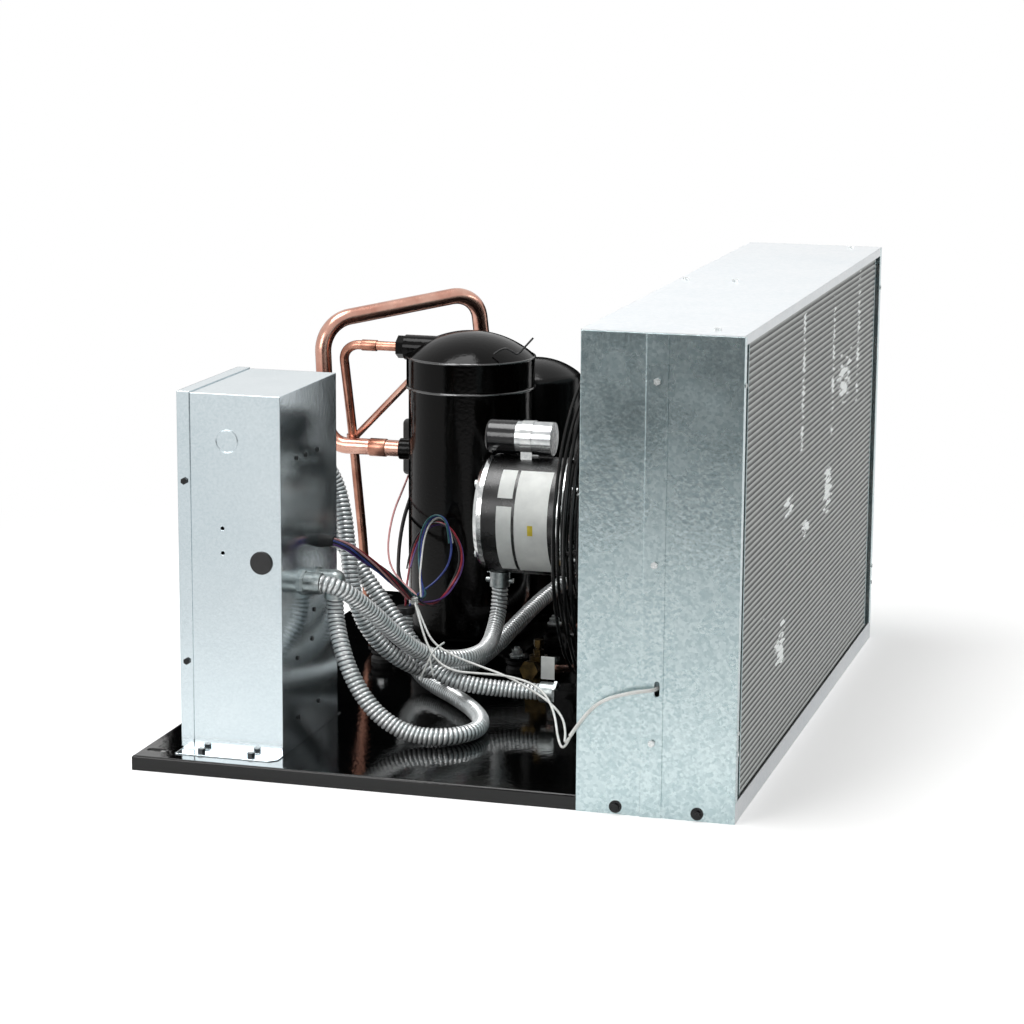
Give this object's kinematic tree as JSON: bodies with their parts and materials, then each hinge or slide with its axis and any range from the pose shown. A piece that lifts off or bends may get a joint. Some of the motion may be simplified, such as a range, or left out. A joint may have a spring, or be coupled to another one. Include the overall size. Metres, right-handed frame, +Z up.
{
  "type": "refrigeration condensing unit",
  "caption": "Air-cooled refrigeration condensing unit: hermetic compressor, receiver, finned coil with a guarded fan and control box on a black pressed base pan.",
  "frame": {"origin": "middle of the base pan's underside, on the plane the unit stands on", "axes": "+Z up, +X out of the condenser coil face, -Y towards the front of the control box"},
  "size_m": [0.7416, 0.9544, 0.5632],
  "materials": {
    "base_black": "gloss",
    "casing_zinc": "spangled galvanised",
    "plated_screw": "plated",
    "black_screw": "satin black",
    "fin_aluminium": "mill",
    "copper": "dull",
    "fan_blade_aluminium": "mill",
    "fan_hub_steel": "plated",
    "shaft_steel": "ground",
    "guard_black": "gloss",
    "motor_black": "satin",
    "can_aluminium": "bright",
    "boot_plastic": "gloss",
    "strap_steel": "bright",
    "shell_black": "gloss",
    "grommet_rubber": "matte",
    "terminal_plastic": "matte",
    "armature_plastic": "matte",
    "tank_black": "satin",
    "valve_brass": "dull",
    "switch_metal": "satin",
    "box_zinc": "plated",
    "connector_zinc": "die-cast",
    "conduit_grey": "satin",
    "cable_white": "satin",
    "harness_black": "satin",
    "wire_red": "satin",
    "wire_blue": "satin",
    "wire_pink": "satin"
  },
  "bodies": {
    "unit": {"base_pan": "base_black", "base_screws": "black_screw", "box_screws": "black_screw", "branch_line": "copper", "capacitor_boot": "boot_plastic", "capacitor_can": "can_aluminium", "capacitor_strap": "strap_steel", "casing_screws": "plated_screw", "coil_bottom_rail": "casing_zinc", "coil_fin_pack": "fin_aluminium", "coil_headers": "copper", "coil_return_bends": "copper", "coil_sides": "casing_zinc", "coil_tube_sheets": "casing_zinc", "compressor_bolts": "plated_screw", "compressor_fittings": "shell_black", "compressor_foot_plate": "shell_black", "compressor_grommets": "grommet_rubber", "compressor_shell": "shell_black", "compressor_terminal_box": "terminal_plastic", "compressor_top_cap": "shell_black", "condenser_top": "casing_zinc", "conduit_connectors": "connector_zinc", "conduit_loop": "conduit_grey", "conduit_motor": "conduit_grey", "conduit_shroud": "conduit_grey", "conduit_switch": "conduit_grey", "contactor_base": "terminal_plastic", "control_box_body": "box_zinc", "control_box_cover": "box_zinc", "control_harness": "harness_black", "discharge_line": "copper", "fan_guard": "guard_black", "harness_loop_blue": "wire_blue", "harness_loop_red": "wire_red", "hole_plug": "terminal_plastic", "liquid_lines": "copper", "liquid_valve": "valve_brass", "motor_end_bells": "motor_black", "motor_shell": "motor_black", "motor_studs": "plated_screw", "pressure_switch": "switch_metal", "receiver_foot": "tank_black", "receiver_tank": "tank_black", "sensor_cable": "cable_white", "sensor_wire_front": "cable_white", "sensor_wire_rear": "cable_white", "shroud_panel": "casing_zinc", "shroud_sides": "casing_zinc", "shutoff_valve": "valve_brass", "suction_line": "copper", "suction_valve": "valve_brass", "terminal_block": "terminal_plastic", "terminal_cable": "harness_black", "terminal_wire": "wire_pink"},
    "fan_rotor": {"fan_shaft": "shaft_steel", "fan_hub": "fan_hub_steel", "fan_blades": "fan_blade_aluminium", "fan_rivets": "fan_hub_steel"},
    "armature": {"contactor_armature": "armature_plastic"}
  },
  "joints": [
    {"name": "fan_spin", "type": "hinge", "parent": "unit", "child": "fan_rotor", "pos_m": [0.133, 0, 0.246], "axis": [1, 0, 0], "continuous": true},
    {"name": "armature_slide", "type": "slide", "parent": "unit", "child": "armature", "axis": [1, 0, 0], "range_m": [0, 0.004], "stiffness_N_per_m": 400}
  ]
}
